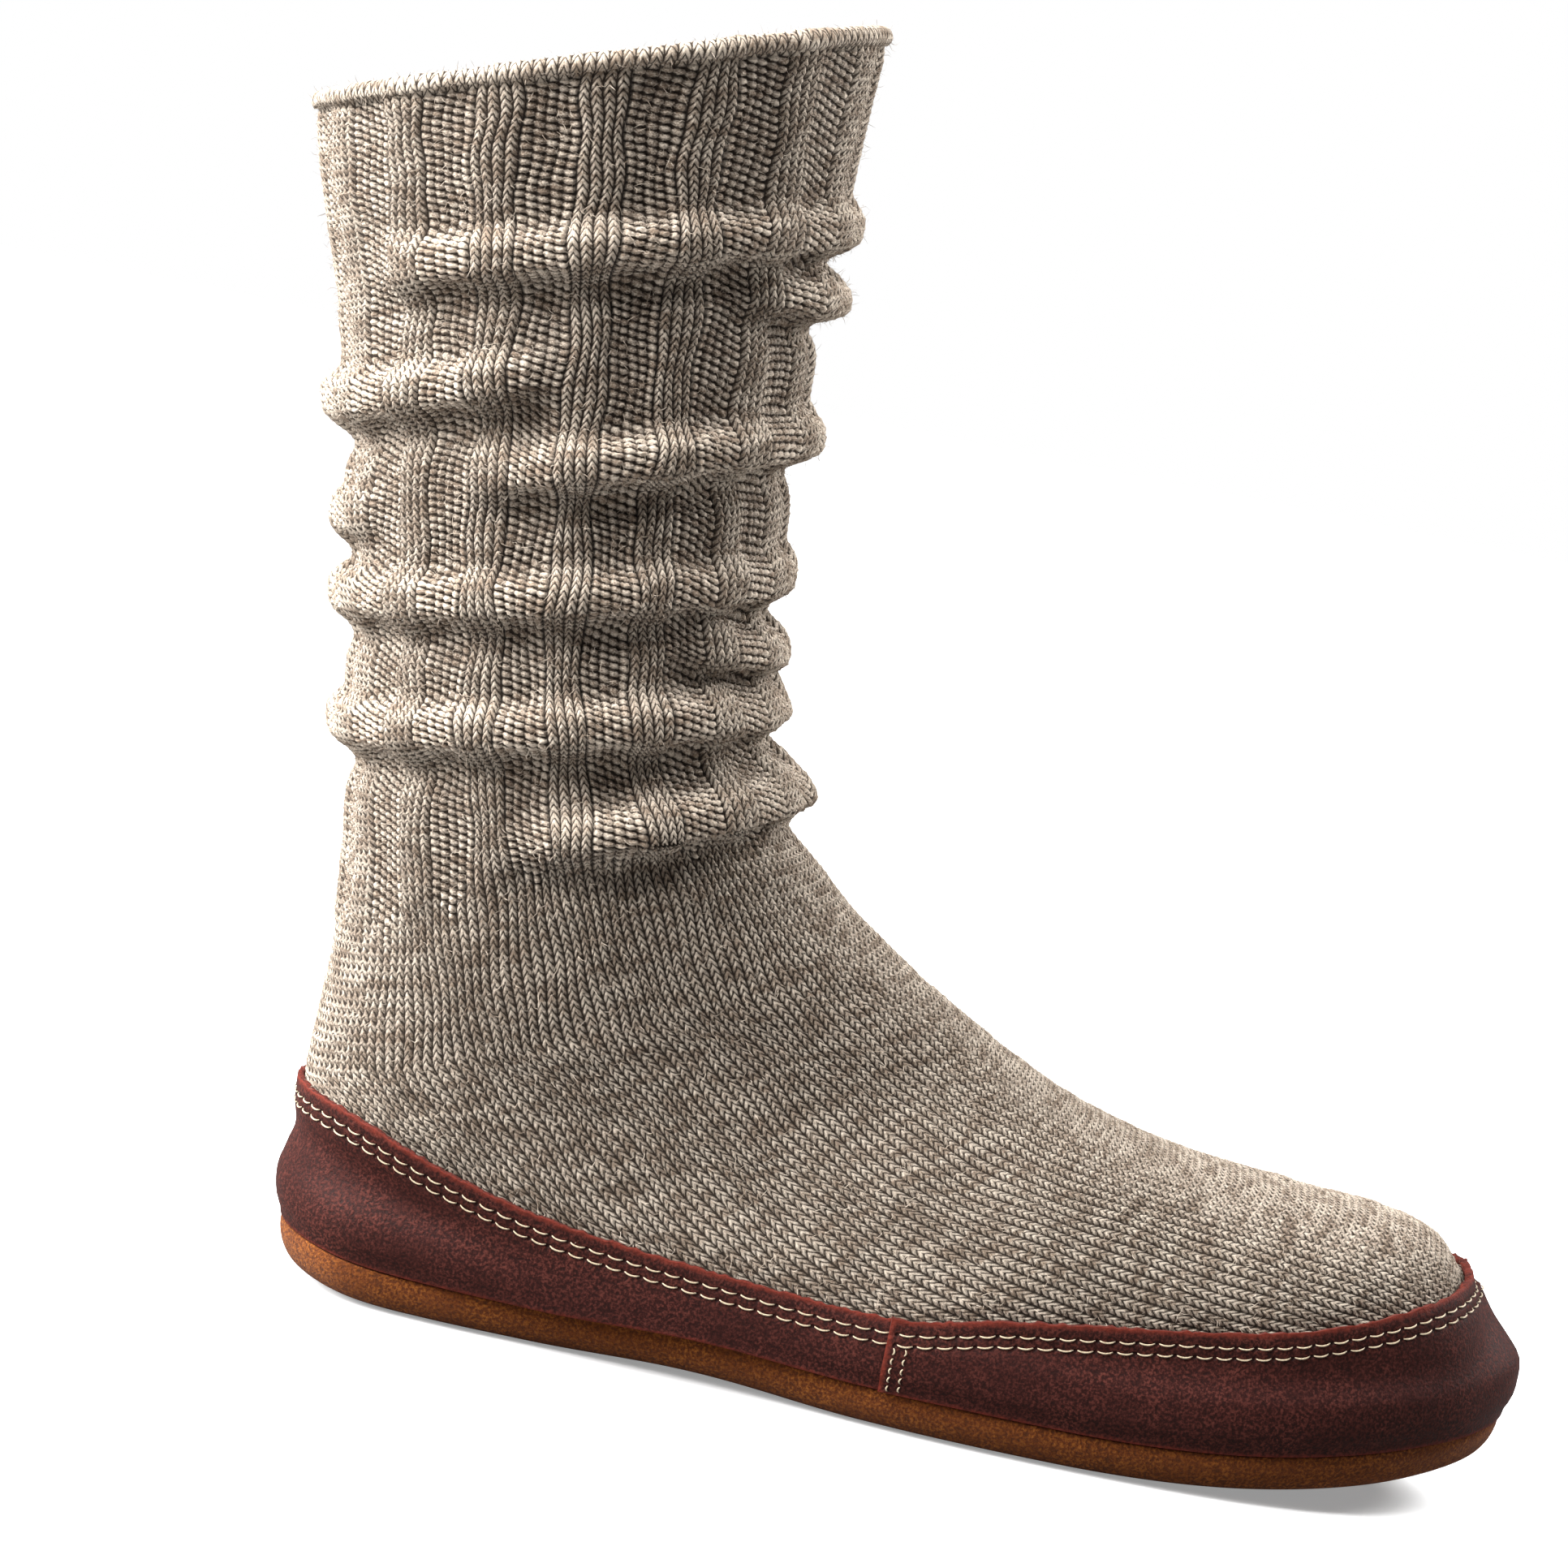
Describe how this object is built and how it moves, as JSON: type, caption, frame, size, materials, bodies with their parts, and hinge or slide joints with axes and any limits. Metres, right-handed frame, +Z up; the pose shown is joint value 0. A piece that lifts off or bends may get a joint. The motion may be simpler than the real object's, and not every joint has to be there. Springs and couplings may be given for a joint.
{
  "type": "slipper sock",
  "caption": "Right-foot slipper sock with a slouched ribbed knit shaft, a lapped leather rand, a cushioned insole and a suede outsole.",
  "frame": {"origin": "on the floor under the middle of the whole slipper sock", "axes": "+X from heel to toe, +Y to the inner side of the foot, +Z up from the floor"},
  "size_m": [0.3096, 0.1156, 0.289],
  "materials": {
    "outsole": "matt brushed suede, orange brown",
    "insole": "matt wool felt over foam",
    "knit_upper": "matt wool knit, marled grey beige",
    "rand_heel": "satin oiled nubuck, red brown",
    "rand_toe": "satin oiled nubuck, red brown"
  },
  "bodies": {
    "root": {"outsole": "outsole", "insole": "insole", "knit_upper": "knit_upper", "rand_heel": "rand_heel", "rand_toe": "rand_toe"}
  },
  "joints": []
}
